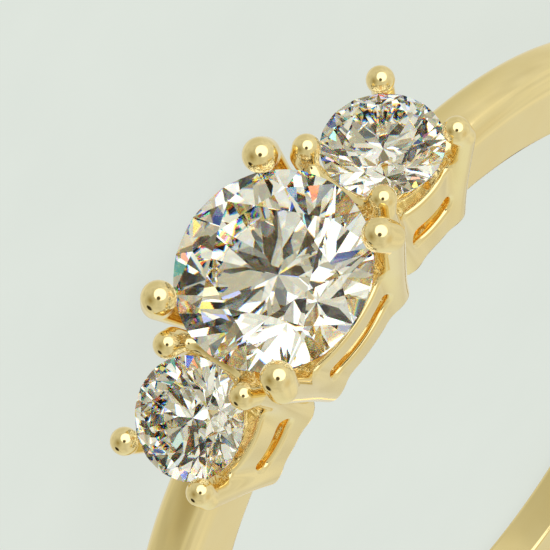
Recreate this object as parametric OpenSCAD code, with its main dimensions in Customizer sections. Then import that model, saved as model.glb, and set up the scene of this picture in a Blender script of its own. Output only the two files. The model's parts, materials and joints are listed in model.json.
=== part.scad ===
// Three stone ring: a gold band with three claw baskets soldered on it, and three round brilliants.
// The ring lies on its side as it rests on a table, with the stones towards -Y and the finger axis near +Z.

/* [Finger hole] */
// Inside diameter of the ring
finger_d = 17.3; // [15:0.1:20]

/* [Band] */
// Width of the band along the finger at the stones
band_w = 1.4; // [1.3:0.05:1.6]
// Width of the band along the finger at the back
band_back_w = 1.1; // [1:0.05:1.3]
// Thickness of the band's flat sides at the quarter points
band_t = 1.5; // [1.2:0.05:1.6]
// How much thicker the band is under the stones than at the quarter points
band_swell = 0.06; // [0:0.02:0.2]
// Rise of the rounded outer face above its two edges
band_crown = 0.19; // [0.1:0.01:0.3]

/* [Centre stone] */
// Diameter of the centre stone
centre_d = 5; // [4.6:0.1:5.2]
// Height of the centre stone's girdle over the finger hole
centre_lift = 3.55; // [3.4:0.05:4]

/* [Side stones] */
// Diameter of each side stone
side_d = 3; // [2.7:0.05:3.1]
// Height of the middle of the side stones' girdles over the finger hole
side_lift = 3.3; // [3.2:0.05:3.5]
// Angle round the finger from the centre stone to a side stone
side_angle = 19.4; // [19:0.1:21]
// How far a side stone tips outward beyond the line to the ring's centre
side_tip_angle = 3.2; // [2:0.2:5]

/* [Brilliant cut] */
// Table width as a share of the stone's diameter
table_share = 0.56; // [0.52:0.01:0.6]
// Angle of the eight crown facets
crown_angle = 34.5; // [32:0.5:36]
// Angle of the eight pavilion facets
pavilion_angle = 40.75; // [40:0.25:42]
// Girdle thickness as a share of the stone's diameter
girdle_share = 0.024; // [0.02:0.002:0.03]
// Length of the star facets as a share of the crown's width
star_share = 0.5; // [0.45:0.05:0.6]
// Length of the lower half facets as a share of the stone's radius
lower_share = 0.77; // [0.7:0.01:0.82]

/* [Claws] */
// Diameter of the four claws round the centre stone, just under their balls
centre_claw_d = 0.78; // [0.7:0.02:0.8]
// Diameter of the same claws at the finger hole
centre_claw_foot_d = 0.62; // [0.56:0.02:0.7]
// Diameter of the balls on the centre claws
centre_ball_d = 0.88; // [0.82:0.02:0.94]
// Diameter of the claws round the side stones, just under their balls
side_claw_d = 0.58; // [0.52:0.02:0.64]
// Diameter of the same claws at the finger hole
side_claw_foot_d = 0.5; // [0.46:0.02:0.56]
// Diameter of the balls on the side claws
side_ball_d = 0.7; // [0.66:0.02:0.74]
// Angle between the ring's plane and the claws, seen from above a stone
claw_angle = 42; // [40:1:45]
// How far a centre ball's middle lies outside the stone's edge
centre_claw_out = 0.3; // [0.26:0.01:0.34]
// How far a side ball's middle lies outside the stone's edge
side_claw_out = 0.29; // [0.25:0.01:0.31]
// Height of the centre balls' middle over the girdle
centre_ball_up = 0.35; // [0.3:0.01:0.4]
// Height of the side balls' middle over the girdle, on the side next to the centre stone
inner_ball_up = 0.42; // [0.38:0.02:0.48]
// Height of the side balls' middle over the girdle, on the side next to the band
outer_ball_up = 0.12; // [0.08:0.01:0.16]
// How far the centre claws lean in towards the finger
centre_claw_lean_angle = 13; // [12:0.5:14]
// How far the side claws lean in towards the finger
side_claw_lean_angle = 5.5; // [5:0.5:7]

/* [Gallery] */
// Half the width of the centre basket's walls where they meet the finger hole
centre_foot = 1.54; // [1.44:0.02:1.6]
// Half the width of the side baskets' walls where they meet the finger hole
side_foot = 1.08; // [1:0.02:1.14]
// How far the centre basket's walls lean in towards the finger
centre_wall_lean_angle = 9.5; // [8:0.5:10]
// How far the side baskets' walls lean in towards the finger
side_wall_lean_angle = 8; // [7:0.5:9]
// Radius of the bow in each wall of the centre basket, seen from above the stone
centre_bow = 4.8; // [4.4:0.2:6]
// Radius of the bow in each wall of the side baskets
side_bow = 6; // [5:0.5:8]
// Radius of the round cup that takes off the corners of the centre basket
centre_cup_r = 2.3; // [2.2:0.02:2.4]
// Radius of the round cup that takes off the corners of the side baskets
side_cup_r = 1.46; // [1.42:0.02:1.5]
// Thickness of the walls
wall_t = 0.5; // [0.4:0.05:0.6]
// Height of the lower rail over the finger hole
lower_rail_h = 0.9; // [0.8:0.05:1]
// Height of the slot between the two rails
slot_h = 0.45; // [0.35:0.05:0.5]
// Height of the upper rail
upper_rail_h = 1; // [0.9:0.05:1.05]
// Length of the slots in the centre basket
centre_slot_w = 2.5; // [2.2:0.05:2.6]
// Length of the slots in the side baskets
side_slot_w = 1.7; // [1.5:0.05:1.8]
// Diameter of the bars that join the baskets between the stones
bar_d = 0.4; // [0.34:0.02:0.44]
// How far the bars' middle lies under the side girdles
bar_drop = 0.18; // [0.16:0.01:0.24]
// Diameter of the hole through the band under the centre stone
centre_hole_d = 0.9; // [0.7:0.05:1]
// Diameter of the hole through the band under each side stone
side_hole_d = 0.7; // [0.6:0.05:0.8]

/* [Fits] */
// Gap left all round each stone
stone_gap = 0.04; // [0.03:0.01:0.06]

/* [Hidden] */
$fn = 64;
// Finer circles for the band and the finger hole
band_fn = 128;
// How far a tool runs past what it cuts
past = 1;

finger_r = finger_d / 2;
band_top_r = finger_r + band_t + band_crown;
// Radius of the arc that rises by band_crown over half the band's width
crown_arc_r = (pow(band_w / 2, 2) + pow(band_crown, 2)) / (2 * band_crown);
// Radius of the band's outer edge at the back, where the band is narrower
back_edge_r = band_top_r - crown_arc_r + sqrt(pow(crown_arc_r, 2) - pow(band_back_w / 2, 2));
// Half the band's width half way round, and the angle at which its flat sides close towards the back
mid_half_w = (band_w + band_back_w) / 4;
taper_angle = atan((band_w - band_back_w) / (4 * band_top_r));

// Radii of the girdles' middles round the ring's centre, and of the balls' middles round their stones
centre_girdle_r = finger_r + centre_lift;
side_girdle_r = finger_r + side_lift;
centre_ball_out = centre_d / 2 + centre_claw_out;
side_ball_out = side_d / 2 + side_claw_out;
// Height of the slots' middle and of the walls' top over the finger hole
slot_mid = lower_rail_h + slot_h / 2;
wall_top = lower_rail_h + slot_h + upper_rail_h;

// The ring rests on the edge of the centre stone and on the far edge of the band
stone_y = -centre_girdle_r - centre_d * girdle_share / 2;
stone_z = -centre_d / 2;
far_y = back_edge_r - band_swell;
rest_tilt = atan2(-stone_z - band_back_w / 2, far_y - stone_y);
rest_z = stone_y * sin(rest_tilt) - stone_z * cos(rest_tilt);
// From the lower centre balls in front to the back of the band, the ring lies centred over the origin
ball_y = -centre_girdle_r - centre_ball_up;
ball_z = -centre_ball_out * sin(claw_angle);
front_y = ball_y * cos(rest_tilt) + ball_z * sin(rest_tilt) - centre_ball_d / 2;
back_y = (band_top_r - band_swell) * cos(rest_tilt);
rest_y = -(front_y + back_y) / 2;

// Sizes of a brilliant of diameter 1, as heights from the middle of its girdle
table_r = table_share / 2;
table_edge = table_r * cos(22.5);
star_tip_r = table_edge + star_share * (0.5 - table_edge);
half_girdle = girdle_share / 2;
table_h = half_girdle + (0.5 - table_r) * tan(crown_angle);
star_tip_h = half_girdle + (0.5 - star_tip_r * cos(22.5)) * tan(crown_angle);
star_angle = atan2(table_h - star_tip_h, star_tip_r - table_edge);
chord = 0.5 * cos(11.25);
upper_half_angle = atan2(star_tip_h - half_girdle, chord - star_tip_r * cos(11.25));
lower_tip_r = 0.5 * (1 - lower_share);
lower_tip_h = half_girdle + (0.5 - lower_tip_r * cos(22.5)) * tan(pavilion_angle);
lower_half_angle = atan2(lower_tip_h - half_girdle, chord - lower_tip_r * cos(11.25));
// Slopes of the cones that just clear the facets
crown_seat_slope = (star_tip_h - half_girdle) / (0.5 - star_tip_r);
pavilion_seat_slope = (lower_tip_h - half_girdle) / (0.5 - lower_tip_r);

// Lays the standing ring down on the stone and the band
module at_rest() {
    translate([0, rest_y, rest_z])
        rotate([-rest_tilt, 0, 0])
            children();
}

// Puts a setting drawn with its stone up +Z at an angle round the finger, with its girdle at a radius
module on_ring(turn, radius) {
    rotate([0, 0, turn])
        translate([0, -radius, 0])
            rotate([90, 0, 0])
                children();
}

// Places what belongs to the centre stone
module at_centre() {
    on_ring(0, centre_girdle_r)
        children();
}

// Places what belongs to a side stone, with the centre stone towards -X; side is 1 for +X and -1 for -X
module at_side(side) {
    mirror([side < 0 ? 1 : 0, 0, 0])
        on_ring(side_angle, side_girdle_r)
            children();
}

// Eight facets as an upright pyramid, whose faces lie at a distance from the axis at a given height
module eight_facets(first, angle, reach, height) {
    rise = 1 + height + reach * tan(angle);
    rotate([0, 0, first + 22.5])
        translate([0, 0, -1])
            cylinder(h = rise, r1 = rise / tan(angle) / cos(22.5), r2 = 0, $fn = 8);
}

module sixteen_facets(angle, reach, height) {
    intersection() {
        eight_facets(11.25, angle, reach, height);
        eight_facets(33.75, angle, reach, height);
    }
}

// A round brilliant of diameter 1 with a table, 32 crown facets and 24 pavilion facets
module unit_brilliant() {
    intersection() {
        translate([0, 0, -past])
            cylinder(h = past + table_h, d = 1);
        eight_facets(0, crown_angle, 0.5, half_girdle);
        eight_facets(22.5, star_angle, table_edge, table_h);
        sixteen_facets(upper_half_angle, chord, half_girdle);
        mirror([0, 0, 1]) eight_facets(0, pavilion_angle, 0.5, half_girdle);
        mirror([0, 0, 1]) sixteen_facets(lower_half_angle, chord, half_girdle);
    }
}

// The room that a stone needs in its setting, with the gap all round
module stone_room(d) {
    r = d / 2 + stone_gap;
    h = half_girdle * d;
    rotate_extrude()
        polygon([
            [0, -h - r * pavilion_seat_slope],
            [r, -h],
            [r, h],
            [0, h + r * crown_seat_slope]
        ]);
}

// One claw: a ball on a tapered wire that leans in and runs down past the finger hole's edge
module claw(turn, out, up, lean, top_d, foot_d, ball_d, lift) {
    rotate([0, 0, turn])
        translate([out, 0, up]) {
            sphere(d = ball_d);
            rotate([180, lean, 0])
                cylinder(h = up + lift + past, d1 = top_d, d2 = foot_d);
        }
}

// Four bowed walls that lean in, with a round room between them; the walls' foot lies at the finger hole
module walls(foot, bow, cup_r, lean, lift) {
    spread = tan(lean);
    difference() {
        intersection() {
            intersection_for(turn = [0 : 90 : 270])
                rotate([0, 0, turn])
                    translate([foot - bow, 0, -lift - past])
                        cylinder(
                            h = wall_top + past,
                            r1 = bow - past * spread,
                            r2 = bow + wall_top * spread
                        );
            translate([0, 0, -lift - past])
                cylinder(h = wall_top + past, r = cup_r);
        }
        translate([0, 0, -lift - 2 * past])
            cylinder(
                h = wall_top + 3 * past,
                r1 = foot - wall_t - 2 * past * spread,
                r2 = foot - wall_t + (wall_top + past) * spread
            );
    }
}

// The slot with round ends that splits the walls along the finger into an upper and a lower rail
module slot(width, foot, lift) {
    reach = 2 * (foot + wall_top);
    straight = width - slot_h;
    translate([0, 0, slot_mid - lift])
        rotate([90, 0, 0]) {
            for (end = [-1, 1])
                translate([end * straight / 2, 0, 0])
                    cylinder(h = reach, d = slot_h, center = true);
            cube([straight, slot_h, reach], center = true);
        }
}

module centre_basket() {
    difference() {
        walls(centre_foot, centre_bow, centre_cup_r, centre_wall_lean_angle, centre_lift);
        slot(centre_slot_w, centre_foot, centre_lift);
    }
    for (turn = [claw_angle, 180 - claw_angle, 180 + claw_angle, -claw_angle])
        claw(turn, centre_ball_out, centre_ball_up, centre_claw_lean_angle,
            centre_claw_d, centre_claw_foot_d, centre_ball_d, centre_lift);
}

// The inner claws, next to the centre stone, lie towards -X; the bar joins them between the stones
module side_basket() {
    difference() {
        walls(side_foot, side_bow, side_cup_r, side_wall_lean_angle, side_lift);
        slot(side_slot_w, side_foot, side_lift);
    }
    for (turn = [claw_angle, -claw_angle])
        claw(turn, side_ball_out, outer_ball_up, side_claw_lean_angle,
            side_claw_d, side_claw_foot_d, side_ball_d, side_lift);
    for (turn = [180 - claw_angle, 180 + claw_angle])
        claw(turn, side_ball_out, inner_ball_up, side_claw_lean_angle,
            side_claw_d, side_claw_foot_d, side_ball_d, side_lift);
    bar_x = side_d / 2 + bar_d / 2 - stone_gap * 3;
    bar_length = 2 * side_ball_out * sin(claw_angle);
    translate([-bar_x, 0, -bar_drop])
        rotate([90, 0, 0])
            cylinder(h = bar_length, d = bar_d, center = true);
}

// The band is set a little towards the stones, which makes it thicker there, and narrows towards the back
module band() {
    reach = band_top_r + past;
    head_z = mid_half_w + reach * tan(taper_angle);
    back_z = mid_half_w - reach * tan(taper_angle);
    intersection() {
        translate([0, -band_swell, 0])
            rotate_extrude($fn = band_fn)
                intersection() {
                    translate([finger_r - past, -head_z])
                        square([band_top_r - finger_r + past, 2 * head_z]);
                    translate([band_top_r - crown_arc_r, 0])
                        circle(r = crown_arc_r);
                }
        rotate([90, 0, 90])
            linear_extrude(2 * reach, center = true)
                polygon([[-reach, -head_z], [reach, -back_z], [reach, back_z], [-reach, head_z]]);
    }
}

// The finger hole, through the band and the feet of the baskets
module finger_hole() {
    depth = 2 * (centre_ball_out + centre_ball_d);
    cylinder(h = depth, r = finger_r, center = true, $fn = band_fn);
}

// The hole through the band that lets light in under a stone
module light_hole(hole_d, lift) {
    translate([0, 0, -lift - past])
        cylinder(h = wall_top + past, d = hole_d);
}

module ring_mount() {
    color("gold")
        at_rest()
            difference() {
                union() {
                    band();
                    at_centre() centre_basket();
                    for (side = [-1, 1])
                        at_side(side) side_basket();
                }
                finger_hole();
                at_centre() {
                    stone_room(centre_d);
                    light_hole(centre_hole_d, centre_lift);
                }
                for (side = [-1, 1])
                    at_side(side) {
                        rotate([0, side_tip_angle, 0]) stone_room(side_d);
                        light_hole(side_hole_d, side_lift);
                    }
            }
}

module centre_stone() {
    color("white")
        at_rest()
            at_centre()
                scale(centre_d) unit_brilliant();
}

module side_stone(side) {
    color("white")
        at_rest()
            at_side(side)
                rotate([0, side_tip_angle, 0])
                    scale(side_d) unit_brilliant();
}

module left_side_stone() {
    side_stone(-1);
}

module right_side_stone() {
    side_stone(1);
}

ring_mount();
centre_stone();
left_side_stone();
right_side_stone();
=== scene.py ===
import json
import math

import bpy
import numpy as np
from mathutils import Matrix, Vector


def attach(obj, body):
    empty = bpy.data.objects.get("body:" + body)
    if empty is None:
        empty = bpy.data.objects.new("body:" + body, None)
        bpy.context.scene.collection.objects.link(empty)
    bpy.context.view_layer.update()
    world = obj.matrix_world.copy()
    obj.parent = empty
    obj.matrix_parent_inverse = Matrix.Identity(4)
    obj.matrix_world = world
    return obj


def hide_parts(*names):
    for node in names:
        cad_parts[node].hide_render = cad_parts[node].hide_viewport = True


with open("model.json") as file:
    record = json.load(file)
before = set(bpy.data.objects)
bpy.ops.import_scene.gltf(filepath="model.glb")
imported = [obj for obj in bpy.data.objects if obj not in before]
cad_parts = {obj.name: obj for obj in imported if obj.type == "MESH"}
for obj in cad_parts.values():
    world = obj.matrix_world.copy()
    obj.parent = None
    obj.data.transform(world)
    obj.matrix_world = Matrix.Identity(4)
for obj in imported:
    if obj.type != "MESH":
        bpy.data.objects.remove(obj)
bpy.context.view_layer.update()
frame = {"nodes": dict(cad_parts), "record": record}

# How the ring lies
# The ring rests on its side, on the edge of its centre stone and the far edge of its band, stones to -Y.
# Every piece below is drawn in the ring's own frame, in millimetres with the finger axis along +Z, and is
# laid down by the same turn.
MM = 0.001
hole = next(m for m in frame["record"]["mounts"] if m["name"] == "finger_hole")
ring_centre = Vector(hole["pos_m"])
rest_tilt = math.atan2(hole["axis"][1], hole["axis"][2])
finger_radius = hole["dims"]["r_mm"]
lie_down = Matrix.Translation(ring_centre) @ Matrix.Rotation(-rest_tilt, 4, "X") @ Matrix.Scale(MM, 4)

# Camera
# A long lens close in on the head, on the stones' side and a third of the way up. It is turned on its axis,
# so that the row of stones runs across the picture from the lower left to the upper right.
CAMERA_AZIMUTH = 3.58
CAMERA_ELEVATION = 30.03
CAMERA_ROLL = 123.5
CAMERA_DISTANCE = 385
FOCAL_LENGTH = 1066.3
AIM_OFFSET = (0.064, 0.045, 0.071)
CENTRE_LIFT = 3.55

centre_girdle_radius = finger_radius + CENTRE_LIFT
aim = lie_down @ Vector((0, -centre_girdle_radius, 0)) + Vector(AIM_OFFSET) * MM
turn, rise = math.radians(CAMERA_AZIMUTH), math.radians(CAMERA_ELEVATION)
towards_camera = Vector((math.sin(turn) * math.cos(rise), -math.cos(turn) * math.cos(rise), math.sin(rise)))
camera_data = bpy.data.cameras.new("camera")
camera_data.lens = FOCAL_LENGTH
camera_data.sensor_width = 36
camera_data.clip_start = 0.01
camera_data.clip_end = 10
camera = bpy.data.objects.new("camera", camera_data)
bpy.context.scene.collection.objects.link(camera)
facing = (-towards_camera).to_track_quat("-Z", "Y").to_matrix()
camera.matrix_world = Matrix.Translation(aim + towards_camera * CAMERA_DISTANCE * MM) @ (
    facing @ Matrix.Rotation(math.radians(CAMERA_ROLL), 3, "Z")
).to_4x4()
bpy.context.scene.camera = camera

# Light
# A pale cloth tent with faint folds, falling off to a warm dusk left of the lens. A dark card stands below
# the dusk, softer cloths hang at the sides, and a round lamp cloth hangs over the dark lens. The stones see
# a patchy tent of their own, because their sparkle is the contrast of what is round them.
DUSK_FROM_LENS = 55
DUSK_CLOCK = 195
TENT_SHADES = ((0.02, (0.35, 0.3, 0.15)), (0.2, (0.6, 0.6, 0.5)), (0.5, (0.75, 0.76, 0.7)))
FOLD_SCALE = 2.2
FOLD_SHADES = ((0.35, (0.9, 0.89, 0.87)), (0.5, (1, 1, 1)), (0.65, (1.1, 1.09, 1.06)))
SOFT_EDGE = 2.5
SIDE_SOFT_EDGE = 11
SIDE_CLOTHS = (
    (125, 280, 24, (0.8, 0.85, 0.8)), (110, 110, 28, (0.65, 0.65, 0.55)),
    (68, 55, 12, (0.9, 0.9, 0.8)), (72, 335, 20, (0.7, 0.65, 0.5)),
)
LAMP_FROM_LENS = 27
LAMP_CLOCK = 68
LAMP_HALF_ANGLE = 38
LAMP_CLOTH = (1.75, 1.75, 1.7)
LENS_HALF_ANGLE = 13
LENS_SHADE = (0.1, 0.085, 0.055)
CARD_FROM_LENS = 95
CARD_CLOCK = 226
CARD_HALF_ANGLE = 14
DARK = (0.03, 0.024, 0.015)
PATCH_SCALE = 3.5
PATCH_SHIFT = (1.0, 0.0, 0.0)
PATCH_SHADES = (
    (0.0, (0.025, 0.022, 0.015)), (0.17, (0.36, 0.31, 0.17)), (0.3, (0.61, 0.58, 0.41)),
    (0.56, (1.0, 1.0, 0.83)), (0.8, (1.7, 1.69, 1.5)),
)
STONES_CLOTHS = (
    (50, 28, 14, (1.7, 1.7, 1.6)), (25, 330, 9, (1.6, 1.6, 1.55)),
    (33, 90, 9, (0.06, 0.05, 0.04)), (52, 150, 12, (0.12, 0.09, 0.045)),
    (75, 92, 14, (1.25, 1.22, 1.1)), (76, 212, 12, (1.0, 0.95, 0.76)),
)
STONES_LENS_HALF_ANGLE = 14


def add_node(tree, kind, settings=None, **inputs):
    """One shader node; inputs are values or nodes' outputs, by name, or by place as _0, _1 and so on."""
    node = tree.nodes.new(kind)
    for name, value in (settings or {}).items():
        setattr(node, name, value)
    for name, value in inputs.items():
        socket = node.inputs[int(name[1:])] if name[0] == "_" and name[1:].isdigit() else node.inputs[name]
        if isinstance(value, bpy.types.NodeSocket):
            tree.links.new(value, socket)
        else:
            socket.default_value = value
    return node


def colour_ramp(tree, factor, stops, interpolation="LINEAR"):
    """A colour ramp over a factor from (place, colour) pairs; returns its colour output."""
    ramp = add_node(tree, "ShaderNodeValToRGB", _0=factor)
    elements = ramp.color_ramp.elements
    ramp.color_ramp.interpolation = interpolation
    while len(elements) < len(stops):
        elements.new(1)
    for element, (place, colour) in zip(elements, stops):
        element.position = place
        element.color = (*colour, 1)
    return ramp.outputs["Color"]


bpy.context.scene.view_settings.view_transform = "Standard"
bpy.context.scene.cycles.max_bounces = 32
bpy.context.scene.cycles.transmission_bounces = 24
bpy.context.scene.cycles.glossy_bounces = 12
world = bpy.data.worlds.new("light_tent")
bpy.context.scene.world = world
world.use_nodes = True
tent = world.node_tree
looking = add_node(tent, "ShaderNodeTexCoord").outputs["Generated"]
mixed = {"data_type": "RGBA"}
multiplied = {"data_type": "RGBA", "blend_type": "MULTIPLY"}


def towards(from_lens, clock):
    """A direction some degrees from the lens, on a side of the picture, anticlockwise from its right."""
    lens_turn = camera.matrix_world.to_3x3()
    tilt, side = math.radians(from_lens), math.radians(clock)
    aside = Vector((math.cos(side), math.sin(side), 0)) * math.sin(tilt)
    return lens_turn @ (aside + Vector((0, 0, math.cos(tilt))))


def angle_from(direction):
    """How far from a direction the light comes, as an angle."""
    across = add_node(
        tent, "ShaderNodeVectorMath", {"operation": "DOT_PRODUCT"}, _0=looking, _1=tuple(direction)
    ).outputs["Value"]
    return add_node(tent, "ShaderNodeMath", {"operation": "ARCCOSINE"}, _0=across).outputs[0]


def hang(behind, direction, half_angle, colour, soft_edge=SOFT_EDGE):
    """Hangs a round cloth or card of one colour in the tent, centred on a direction, with a soft edge."""
    cover = add_node(
        tent, "ShaderNodeMapRange", Value=angle_from(direction),
        _1=math.radians(half_angle + soft_edge), _2=math.radians(half_angle - soft_edge), _3=0.0, _4=1.0,
    )
    cover = cover.outputs["Result"]
    return add_node(tent, "ShaderNodeMix", mixed, _0=cover, _6=behind, _7=(*colour, 1)).outputs[2]


def hang_each(behind, cloths, soft_edge=SOFT_EDGE):
    """Hangs several cloths, each given as degrees from the lens, clock, half angle and colour."""
    for from_lens, clock, half_angle, colour in cloths:
        behind = hang(behind, towards(from_lens, clock), half_angle, colour, soft_edge)
    return behind


from_dusk = angle_from(towards(DUSK_FROM_LENS, DUSK_CLOCK))
from_dusk = add_node(tent, "ShaderNodeMath", {"operation": "DIVIDE"}, _0=from_dusk, _1=math.pi)
cloths = colour_ramp(tent, from_dusk.outputs[0], TENT_SHADES)
folds = add_node(tent, "ShaderNodeTexNoise", Vector=looking, Scale=FOLD_SCALE, Detail=2)
folds = colour_ramp(tent, folds.outputs["Fac"], FOLD_SHADES)
cloths = add_node(tent, "ShaderNodeMix", multiplied, _0=1, _6=cloths, _7=folds).outputs[2]
cloths = hang_each(cloths, SIDE_CLOTHS, SIDE_SOFT_EDGE)
cloths = hang(cloths, towards(LAMP_FROM_LENS, LAMP_CLOCK), LAMP_HALF_ANGLE, LAMP_CLOTH)
cloths = hang(cloths, towards_camera, LENS_HALF_ANGLE, LENS_SHADE)
cloths = hang(cloths, towards(CARD_FROM_LENS, CARD_CLOCK), CARD_HALF_ANGLE, DARK)

shifted = add_node(tent, "ShaderNodeVectorMath", _0=looking, _1=PATCH_SHIFT).outputs["Vector"]
patches = add_node(tent, "ShaderNodeTexVoronoi", Vector=shifted, Scale=PATCH_SCALE)
chance = add_node(tent, "ShaderNodeSeparateColor", Color=patches.outputs["Color"]).outputs["Red"]
around_stones = colour_ramp(tent, chance, PATCH_SHADES, "CONSTANT")
around_stones = hang_each(around_stones, STONES_CLOTHS)
around_stones = hang(around_stones, towards_camera, STONES_LENS_HALF_ANGLE, DARK)

through_stone = add_node(tent, "ShaderNodeLightPath").outputs["Is Transmission Ray"]
seen = add_node(tent, "ShaderNodeMix", mixed, _0=through_stone, _6=cloths, _7=around_stones)
tent.links.new(seen.outputs[2], tent.nodes["Background"].inputs["Color"])

# Floor
# A plain pale light table under the ring: matt acrylic that glows evenly, so that nothing on it throws more
# than a faint shadow.
FLOOR_HALF_WIDTH = 1
FLOOR_GRAIN = 300
FLOOR_SHADES = ((0.3, (0.09, 0.1, 0.09)), (0.7, (0.11, 0.12, 0.11)))
FLOOR_GLOW = (0.645, 0.686, 0.641, 1)
FLOOR_ROUGHNESS = 0.9
FLOOR_GLOSS = 0.1

floor_mesh = bpy.data.meshes.new("floor")
edge = FLOOR_HALF_WIDTH
floor_corners = [(-edge, -edge, 0), (edge, -edge, 0), (edge, edge, 0), (-edge, edge, 0)]
floor_mesh.from_pydata(floor_corners, [], [(0, 1, 2, 3)])
floor = bpy.data.objects.new("floor", floor_mesh)
bpy.context.scene.collection.objects.link(floor)
acrylic = bpy.data.materials.new("pale_acrylic")
acrylic.use_nodes = True
tree = acrylic.node_tree
shader = tree.nodes["Principled BSDF"]
place = add_node(tree, "ShaderNodeTexCoord").outputs["Object"]
grain = add_node(tree, "ShaderNodeTexNoise", Vector=place, Scale=FLOOR_GRAIN, Detail=3)
shade = colour_ramp(tree, grain.outputs["Fac"], FLOOR_SHADES)
tree.links.new(shade, shader.inputs["Base Color"])
shader.inputs["Roughness"].default_value = FLOOR_ROUGHNESS
shader.inputs["Specular IOR Level"].default_value = FLOOR_GLOSS
shader.inputs["Emission Color"].default_value = FLOOR_GLOW
shader.inputs["Emission Strength"].default_value = 1
floor_mesh.materials.append(acrylic)
floor.visible_glossy = False
floor.visible_transmission = False

# Band
# A drawn gold strip bent round a mandrel, with flat sides, a low rounded outer face, a narrow bevel on both
# edges and a smooth inside. It is thicker at the stones, with a shoulder each side of them, and is filed
# narrower towards the back.
BAND_WIDTH = 1.5
BAND_BACK_WIDTH = 0.95
BAND_SIDE = 1.5
BAND_SWELL = 0.06
BAND_CROWN = 0.19
BAND_ARRIS = 0.1
BAND_BEVEL = 0.3
BAND_SHOULDER = 0.22

band_top = finger_radius + BAND_SIDE + BAND_CROWN
crown_radius = ((BAND_WIDTH / 2) ** 2 + BAND_CROWN**2) / (2 * BAND_CROWN)
middle_half_width = (BAND_WIDTH + BAND_BACK_WIDTH) / 4
taper = (BAND_WIDTH - BAND_BACK_WIDTH) / (4 * band_top)


def soldered(first, second, fillet):
    """Two forms given as distances from their metal, run together with a fillet of solder between them."""
    near = np.maximum(fillet - np.abs(first - second), 0) / fillet
    return np.minimum(first, second) - near * near * fillet / 4


def filed(first, second, softness):
    """What two forms share, with the edge between them rubbed soft."""
    return -soldered(-first, -second, softness)


def band_metal(x, y, z):
    """Distance from the band's outer face and sides, less than 0 inside; the finger hole is cut later."""
    shoulder = BAND_SHOULDER * (2 * x * y / (x**2 + y**2)) ** 2
    from_middle = np.hypot(x, y + BAND_SWELL) - (band_top - crown_radius)
    from_middle -= np.where(y < 0, shoulder, 0)
    outer_face = np.hypot(from_middle, z) - crown_radius
    sides = np.abs(z) - middle_half_width + y * taper
    bevel = (outer_face + sides) * math.sqrt(0.5) + BAND_BEVEL / 2
    return filed(filed(outer_face, sides, BAND_ARRIS), bevel, BAND_ARRIS)


# Centre basket
# A cup of four bowed gold walls, pierced by a slot above and below, with a claw at each corner whose tip is
# melted to a ball over the stone. It is cast in one and soldered on the band.
CENTRE_STONE = 5.0
CENTRE_CLAW_OUT = 0.3
CENTRE_BALL_UP = 0.35
CENTRE_BALL = 0.88
CENTRE_CLAW_WIDTHS = (0.8, 0.5)
CENTRE_CLAW_FOOT = (1.41, 1.27)
CENTRE_FOOT = 1.63
CENTRE_WALL_LEAN = 7.5
CENTRE_BOW = 4.8
CENTRE_CUP = 2.3
CENTRE_SLOT = 2.5
CENTRE_WALL = 2.05
WALL = 0.5
CENTRE_LOWER_RAIL = 0.75
SLOT_HEIGHT = 0.52
CORNER_SOFTNESS = 0.3
EDGE_SOFTNESS = 0.15
CLAW_ANGLE = 42
CLAW_BEHIND_BALL = 0.14
CLAW_BELOW_BALL = 0.3
CLAW_PAST_FOOT = 0.3
CLAW_FILLET = 0.3
FOOT_FILLET = 0.55
BALL_NECK = 0.14


def basket_walls(across, along, height, foot, bow, cup, lean, top, slot_length, lower_rail):
    """Distance from a basket's walls; height is measured over the finger hole."""
    across, along = np.abs(across), np.abs(along)
    spread = math.tan(math.radians(lean))
    straight = math.cos(math.radians(lean))
    from_axis = np.hypot(across, along)
    outside = from_axis - cup
    for forward, sideways in ((across, along), (along, across)):
        wall = (np.hypot(forward - foot + bow, sideways) - bow - height * spread) * straight
        outside = filed(outside, wall, CORNER_SOFTNESS)
    inside = (foot - WALL + height * spread - from_axis) * straight
    walls = filed(filed(outside, inside, EDGE_SOFTNESS), height - top, EDGE_SOFTNESS)
    past_end = np.maximum(across - (slot_length - SLOT_HEIGHT) / 2, 0)
    slot = np.hypot(past_end, height - lower_rail - SLOT_HEIGHT / 2) - SLOT_HEIGHT / 2
    return filed(walls, -slot, EDGE_SOFTNESS)


def tapered_wire(place, start, end, start_width, end_width):
    """Distance from a straight round wire between two points."""
    run = [b - a for a, b in zip(start, end)]
    offset = [p - a for p, a in zip(place, start)]
    length = math.hypot(*run)
    share = np.clip(sum(o * r for o, r in zip(offset, run)) / length**2, 0, 1)
    off_axis = np.sqrt(sum((o - share * r) ** 2 for o, r in zip(offset, run)))
    return off_axis - (start_width + (end_width - start_width) * share) / 2


def claw_metal(place, out, ball_up, foot, widths, ball):
    """Distance from a claw and its ball; up counts from the girdle, and the foot is on the finger hole."""
    turn = math.radians(CLAW_ANGLE)
    reach = out + CLAW_BEHIND_BALL
    bend = reach * math.cos(turn), reach * math.sin(turn), ball_up - CLAW_BELOW_BALL
    past_foot = [f + (f - b) * CLAW_PAST_FOOT for f, b in zip(foot, bend)]
    wire = tapered_wire(place, bend, past_foot, *widths)
    centre = out * math.cos(turn), out * math.sin(turn), ball_up
    tip = np.sqrt(sum((p - c) ** 2 for p, c in zip(place, centre))) - ball / 2
    return soldered(wire, tip, BALL_NECK)


def join_claws(walls, claws, height, lift):
    """Walls and claws run together, broadly at the foot and tightly at the stone."""
    fillet = FOOT_FILLET + (CLAW_FILLET - FOOT_FILLET) * np.clip(height / lift, 0, 1)
    return soldered(walls, claws, fillet)


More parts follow.
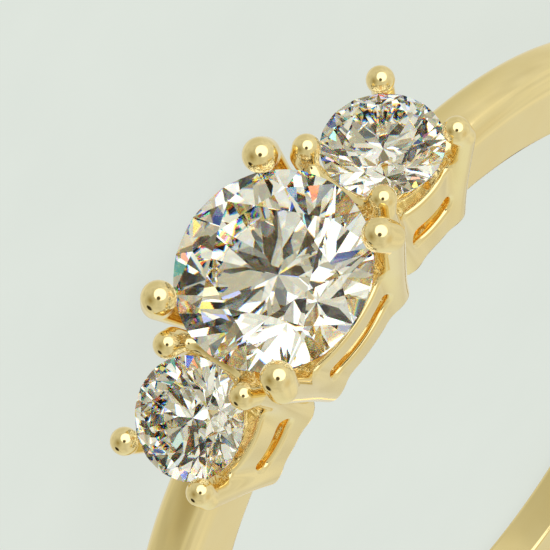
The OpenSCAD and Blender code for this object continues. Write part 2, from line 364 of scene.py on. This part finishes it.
def centre_basket(x, y, z):
    """Distance from the metal of the centre basket with its four claws."""
    x, z, height = np.abs(x), np.abs(z), -y - finger_radius
    walls = basket_walls(
        x, z, height, CENTRE_FOOT, CENTRE_BOW, CENTRE_CUP, CENTRE_WALL_LEAN, CENTRE_WALL, CENTRE_SLOT,
        CENTRE_LOWER_RAIL,
    )
    claws = claw_metal(
        (x, z, height - CENTRE_LIFT), CENTRE_STONE / 2 + CENTRE_CLAW_OUT, CENTRE_BALL_UP,
        (*CENTRE_CLAW_FOOT, -CENTRE_LIFT), CENTRE_CLAW_WIDTHS, CENTRE_BALL,
    )
    return join_claws(walls, claws, height, CENTRE_LIFT)


# Side baskets
# Two smaller cups of the same make, rounder at the rim, one each side of the centre basket. A curved saddle
# joins the two claws next to the centre stone and fills the cleft between the stones.
SIDE_STONE = 3.0
SIDE_LIFT = 3.3
SIDE_ANGLE = 19.4
SIDE_TIP_ANGLE = 3.2
SIDE_CLAW_OUT = 0.29
INNER_BALL_UP = 0.42
OUTER_BALL_UP = 0.12
SIDE_BALL = 0.7
SIDE_CLAW_WIDTHS = (0.58, 0.44)
OUTER_CLAW_FOOT = (1.03, 0.88)
INNER_CLAW_FOOT = (0.8, 0.92)
SIDE_FOOT = 1.23
SIDE_WALL_LEAN = 3
SIDE_BOW = 6
SIDE_CUP = 1.46
SIDE_SLOT = 1.6
SIDE_WALL = 2.27
SIDE_LOWER_RAIL = 0.8
SADDLE = 0.56
SADDLE_DROP = 0.1
SADDLE_HALF_LENGTH = 0.7
SADDLE_SWEEP = 0.5
SADDLE_UNDER_STONE = 0.12

side_girdle_radius = finger_radius + SIDE_LIFT


def beside_the_centre(x, y, z):
    """A place in the side basket's own frame: across away from the centre stone, along the finger, up."""
    turn = math.radians(SIDE_ANGLE)
    x = np.abs(x)
    return (
        x * math.cos(turn) + y * math.sin(turn),
        np.abs(z),
        x * math.sin(turn) - y * math.cos(turn) - side_girdle_radius,
    )


def side_baskets(x, y, z):
    """Distance from the metal of the nearer side basket with its claws and its saddle."""
    across, along, up = beside_the_centre(x, y, z)
    metal = basket_walls(
        across, along, up + SIDE_LIFT, SIDE_FOOT, SIDE_BOW, SIDE_CUP, SIDE_WALL_LEAN, SIDE_WALL, SIDE_SLOT,
        SIDE_LOWER_RAIL,
    )
    for side, ball_up, foot in ((1, OUTER_BALL_UP, OUTER_CLAW_FOOT), (-1, INNER_BALL_UP, INNER_CLAW_FOOT)):
        claws = claw_metal(
            (side * across, along, up), SIDE_STONE / 2 + SIDE_CLAW_OUT, ball_up,
            (*foot, -SIDE_LIFT), SIDE_CLAW_WIDTHS, SIDE_BALL,
        )
        if side < 0:
            saddle_across = across + SIDE_STONE / 2 + SADDLE / 2 - SADDLE_UNDER_STONE
            saddle_end = np.maximum(along - SADDLE_HALF_LENGTH, 0)
            saddle = np.sqrt(saddle_across**2 + (up + SADDLE_DROP) ** 2 + saddle_end**2) - SADDLE / 2
            claws = soldered(claws, saddle, SADDLE_SWEEP)
        metal = join_claws(metal, claws, up + SIDE_LIFT, SIDE_LIFT)
    return metal


# Ring mount
# The band and the three baskets are soldered into one piece, the seats are cut for the stones, small light
# holes are drilled through the band under them, and all of it is buffed to a bright yellow polish.
SOLDER_FILLET = 0.14
STONE_GAP = 0.04
SEAT_EDGE = 0.03
GIRDLE_SHARE = 0.024
CROWN_SEAT_SLOPE = 0.68
PAVILION_SEAT_SLOPE = 0.86
LIGHT_HOLE_CENTRE = 0.9
LIGHT_HOLE_SIDE = 0.7
INSIDE_EDGE_HEAD = 0.06
INSIDE_EDGE_BACK = 0.08
HEAD_ANGLE = 31
HEAD_MIDDLE = 2
HEAD_CELL = 0.066
BAND_MIDDLE = 1
BAND_CELL = 0.3
CELL_GROWTH = 1.12
CELLS_IN_HOLE = 3
GRID_HEIGHT = 4.6
GRID_HALF_WIDTH = 2.6
SLOPE_STEP = 0.004
SETTLING_ROUNDS = 4
LEAST_SLOPE = 0.2
GOLD_GRAIN = 900
GOLD_SHADES = ((0.3, (0.945, 0.765, 0.385)), (0.7, (0.96, 0.795, 0.425)))
BUFFING_GRAIN = 2500
BUFFING_ROUGHNESS = (0.05, 0.13)
RIPPLE_GRAIN = 1000
RIPPLE_STRENGTH = 0.1
RIPPLE_DEPTH = 0.08


def stone_seat(across, along, up, diameter):
    """Distance from the room cut for a stone, less than 0 inside it."""
    radius = diameter / 2 + STONE_GAP
    girdle = GIRDLE_SHARE / 2 * diameter
    from_axis = np.hypot(across, along)
    above = (up - girdle - (radius - from_axis) * CROWN_SEAT_SLOPE) / math.hypot(1, CROWN_SEAT_SLOPE)
    below = (-up - girdle - (radius - from_axis) * PAVILION_SEAT_SLOPE) / math.hypot(1, PAVILION_SEAT_SLOPE)
    return np.maximum(np.maximum(above, below), from_axis - radius)


def mount_metal(x, y, z):
    """Distance from the metal of the finished mount, in millimetres in the ring's own frame."""
    metal = soldered(band_metal(x, y, z), centre_basket(x, y, z), SOLDER_FILLET)
    metal = soldered(metal, side_baskets(x, y, z), SOLDER_FILLET)
    across, along, up = beside_the_centre(x, y, z)
    tip = math.radians(SIDE_TIP_ANGLE)
    seats = np.minimum(
        stone_seat(x, z, -y - centre_girdle_radius, CENTRE_STONE),
        stone_seat(
            across * math.cos(tip) - up * math.sin(tip), along,
            across * math.sin(tip) + up * math.cos(tip), SIDE_STONE,
        ),
    )
    light_holes = np.minimum(
        np.hypot(x, z) - LIGHT_HOLE_CENTRE / 2, np.hypot(across, along) - LIGHT_HOLE_SIDE / 2
    )
    metal = filed(metal, -seats, SEAT_EDGE)
    metal = np.where(y < 0, filed(metal, -light_holes, EDGE_SOFTNESS), metal)
    from_head = np.arctan2(np.abs(x), -y) / math.pi
    inside_edge = INSIDE_EDGE_HEAD + (INSIDE_EDGE_BACK - INSIDE_EDGE_HEAD) * from_head**2
    return filed(metal, finger_radius - np.hypot(x, y), inside_edge)


def mirrored(values):
    """Steps from 0 outward, with the same steps on the other side of 0."""
    return np.concatenate((-values[:0:-1], values))


def bent_grid():
    """A grid bent round the finger, finest at the stones: its nodes, and how far each is from the metal."""
    steps = [0.0]
    step = HEAD_CELL / (finger_radius + HEAD_MIDDLE)
    while steps[-1] < math.pi - step / 2:
        if steps[-1] > math.radians(HEAD_ANGLE):
            step = min(step * CELL_GROWTH, BAND_CELL / (finger_radius + BAND_MIDDLE))
        steps.append(steps[-1] + step)
    angles = np.array(steps) * math.pi / steps[-1]
    radii = np.arange(finger_radius - CELLS_IN_HOLE * HEAD_CELL, finger_radius + GRID_HEIGHT, HEAD_CELL)
    depths = np.arange(0, GRID_HALF_WIDTH, HEAD_CELL)
    a, r, d = np.meshgrid(angles, radii, depths, indexing="ij")
    quarter = mount_metal(r * np.sin(a), -r * np.cos(a), d)
    half = np.concatenate((quarter[:, :, :0:-1], quarter), axis=2)
    field = np.concatenate((half[:0:-1], half), axis=0)[:-1]
    grid = np.meshgrid(mirrored(angles)[:-1], radii, mirrored(depths), indexing="ij")
    nodes = np.stack((grid[1] * np.sin(grid[0]), -grid[1] * np.cos(grid[0]), grid[2]), axis=-1)
    return nodes, field


def grid_skin(nodes, field):
    """The skin between metal and air as points, one in each cell that it crosses, and four-sided faces."""
    shape = np.array(field.shape)
    inside = field < 0
    owners, crossings, corners = [], [], []
    for axis in range(3):
        leaving = inside != np.roll(inside, -1, axis)
        if axis:
            leaving[(slice(None),) * axis + (-1,)] = False
        start = np.argwhere(leaving)
        end = start.copy()
        end[:, axis] = (end[:, axis] + 1) % shape[axis]
        low, high = field[tuple(start.T)], field[tuple(end.T)]
        part = (low / (low - high))[:, None]
        crossing = nodes[tuple(start.T)] * (1 - part) + nodes[tuple(end.T)] * part
        first, second = [other for other in range(3) if other != axis]
        ring = []
        for back_first, back_second in ((1, 1), (0, 1), (0, 0), (1, 0)):
            cell = start.copy()
            cell[:, first] -= back_first
            cell[:, second] -= back_second
            cell %= shape
            ring.append(np.ravel_multi_index(tuple(cell.T), tuple(shape)))
        ring = np.stack(ring, axis=1)
        turned = inside[tuple(start.T)] != (axis == 1)
        ring[turned] = ring[turned][:, ::-1]
        owners.append(ring.ravel())
        crossings.append(np.repeat(crossing, 4, axis=0))
        corners.append(ring)
    cells, which = np.unique(np.concatenate(owners), return_inverse=True)
    crossings = np.concatenate(crossings)
    count = np.bincount(which)
    points = np.stack([np.bincount(which, weights=crossings[:, i]) / count for i in range(3)], axis=1)
    faces = np.searchsorted(cells, np.concatenate(corners))
    return points, faces


def metal_slope(points):
    """How fast the distance from the metal grows along each axis."""
    slope = np.empty_like(points)
    for axis in range(3):
        ahead, behind = points.copy(), points.copy()
        ahead[:, axis] += SLOPE_STEP
        behind[:, axis] -= SLOPE_STEP
        slope[:, axis] = (mount_metal(*ahead.T) - mount_metal(*behind.T)) / (2 * SLOPE_STEP)
    return slope


def settled(points):
    """Points brought onto the surface of the metal, each down its own slope."""
    for _ in range(SETTLING_ROUNDS):
        slope = metal_slope(points)
        off = mount_metal(*points.T) / np.maximum((slope**2).sum(axis=1), LEAST_SLOPE)
        points = points - np.clip(off, -HEAD_CELL / 2, HEAD_CELL / 2)[:, None] * slope
    return points


points, faces = grid_skin(*bent_grid())
points = settled(points)
normals = metal_slope(points)
normals /= np.linalg.norm(normals, axis=1)[:, None]
laid = np.array(lie_down.to_3x3())
mount_mesh = bpy.data.meshes.new("gold_mount")
mount_mesh.vertices.add(len(points))
mount_mesh.vertices.foreach_set("co", (points @ laid.T + np.array(lie_down.translation)).ravel())
mount_mesh.loops.add(faces.size)
mount_mesh.loops.foreach_set("vertex_index", faces.ravel())
mount_mesh.polygons.add(len(faces))
mount_mesh.polygons.foreach_set("loop_start", np.arange(0, faces.size, 4))
mount_mesh.update(calc_edges=True)
mount_mesh.validate()
mount_mesh.shade_smooth()
mount_mesh.normals_split_custom_set_from_vertices((normals @ laid.T / MM).tolist())
mount = bpy.data.objects.new("gold_mount", mount_mesh)
bpy.context.scene.collection.objects.link(mount)

gold = bpy.data.materials.new("polished_gold")
gold.use_nodes = True
tree = gold.node_tree
shader = tree.nodes["Principled BSDF"]
place = add_node(tree, "ShaderNodeTexCoord").outputs["Object"]
alloy = add_node(tree, "ShaderNodeTexNoise", Vector=place, Scale=GOLD_GRAIN, Detail=2)
shade = colour_ramp(tree, alloy.outputs["Fac"], GOLD_SHADES)
tree.links.new(shade, shader.inputs["Base Color"])
buffing = add_node(tree, "ShaderNodeTexNoise", Vector=place, Scale=BUFFING_GRAIN, Detail=3).outputs["Fac"]
haze = add_node(tree, "ShaderNodeMapRange", Value=buffing, _3=BUFFING_ROUGHNESS[0], _4=BUFFING_ROUGHNESS[1])
tree.links.new(haze.outputs["Result"], shader.inputs["Roughness"])
ripple = add_node(tree, "ShaderNodeTexNoise", Vector=place, Scale=RIPPLE_GRAIN, Detail=1).outputs["Fac"]
relief = add_node(
    tree, "ShaderNodeBump", Height=ripple, Strength=RIPPLE_STRENGTH, Distance=RIPPLE_DEPTH * MM
)
tree.links.new(relief.outputs["Normal"], shader.inputs["Normal"])
shader.inputs["Metallic"].default_value = 1
mount_mesh.materials.append(gold)
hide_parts("ring_mount")
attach(mount, "root")

# Stones
# Three round brilliants, clear and colourless, each held a hair's breadth clear in its seat. Each colour of
# light bends by its own amount where it comes in, which gives the stones their fire. The glare of the first
# face is kept dim.
BEND = 2.42
GLARE = (0.15, 0.15, 0.15, 1)
FIRE = ((2.39, (0.8, 0.15, 0.05)), (2.42, (0.15, 0.7, 0.15)), (2.465, (0.05, 0.15, 0.8)))

diamond = bpy.data.materials.new("diamond")
diamond.use_nodes = True
tree = diamond.node_tree
tree.nodes.remove(tree.nodes["Principled BSDF"])
clear = add_node(tree, "ShaderNodeBsdfGlass", Color=(1, 1, 1, 1), IOR=BEND, Roughness=0).outputs[0]
spread = None
for bend, colour in FIRE:
    bent = add_node(tree, "ShaderNodeBsdfRefraction", Color=(*colour, 1), IOR=bend, Roughness=0).outputs[0]
    spread = add_node(tree, "ShaderNodeAddShader", _0=spread, _1=bent).outputs[0] if spread else bent
glare = add_node(tree, "ShaderNodeBsdfGlossy", Color=GLARE, Roughness=0).outputs[0]
share = add_node(tree, "ShaderNodeFresnel", IOR=BEND).outputs[0]
spread = add_node(tree, "ShaderNodeMixShader", _0=share, _1=spread, _2=glare).outputs[0]
first_face = add_node(tree, "ShaderNodeLightPath").outputs["Is Camera Ray"]
both = add_node(tree, "ShaderNodeMixShader", _0=first_face, _1=clear, _2=spread)
tree.links.new(both.outputs[0], tree.nodes["Material Output"].inputs["Surface"])
for name in ("centre_stone", "left_side_stone", "right_side_stone"):
    frame["nodes"][name].data.materials.clear()
    frame["nodes"][name].data.materials.append(diamond)
